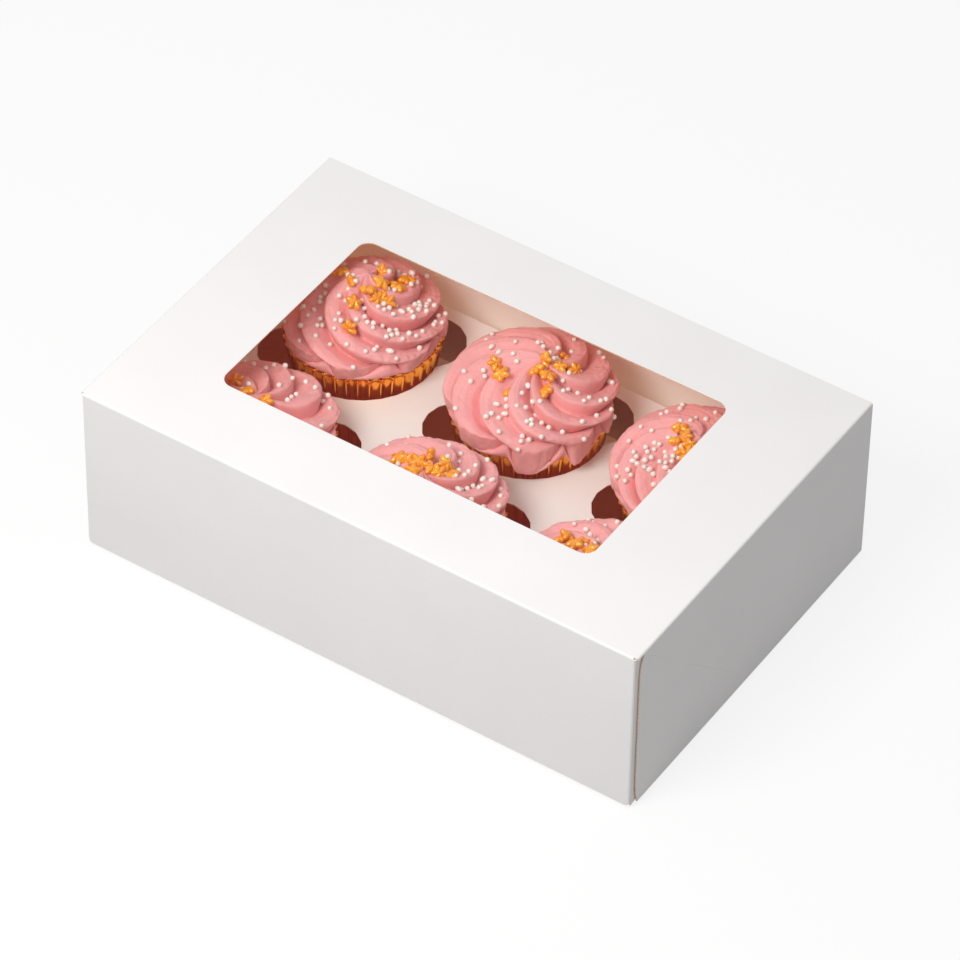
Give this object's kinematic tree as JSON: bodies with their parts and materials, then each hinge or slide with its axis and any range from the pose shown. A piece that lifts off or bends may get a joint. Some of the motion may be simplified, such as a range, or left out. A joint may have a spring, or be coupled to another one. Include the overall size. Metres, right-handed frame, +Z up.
{
  "type": "cupcake box",
  "caption": "Windowed folding carton with a hinged lid, a punched holder and frosted cupcakes in fluted foil cases standing inside.",
  "frame": {"origin": "bottom centre of the closed box, on the table", "axes": "+X along the long side, +Y from the front flap to the hinge side, +Z up"},
  "size_m": [0.241, 0.159, 0.076],
  "materials": {
    "card": "smooth white coated folding board",
    "holder_card": "white food board, lightly warm",
    "film": "clear glossy film",
    "foil": "copper-coloured pleated foil",
    "sponge": "baked sponge",
    "frosting": "pink buttercream, soft sheen",
    "stars": "pearlescent orange sugar"
  },
  "bodies": {
    "base": {"base_tray": "card", "holder": "holder_card", "case_1": "foil", "sponge_1": "sponge", "frosting_1": "frosting", "stars_1": "stars", "case_2": "foil", "sponge_2": "sponge", "frosting_2": "frosting", "stars_2": "stars", "case_3": "foil", "sponge_3": "sponge", "frosting_3": "frosting", "stars_3": "stars", "case_4": "foil", "sponge_4": "sponge", "frosting_4": "frosting", "stars_4": "stars", "case_5": "foil", "sponge_5": "sponge", "frosting_5": "frosting", "stars_5": "stars", "case_6": "foil", "sponge_6": "sponge", "frosting_6": "frosting", "stars_6": "stars"},
    "lid": {"lid": "card", "window_film": "film"}
  },
  "joints": [
    {"name": "lid_hinge", "type": "hinge", "parent": "base", "child": "lid", "pos_m": [0, 0.0795, 0.076], "axis": [-1, 0, 0], "range_deg": [0, 205]}
  ]
}
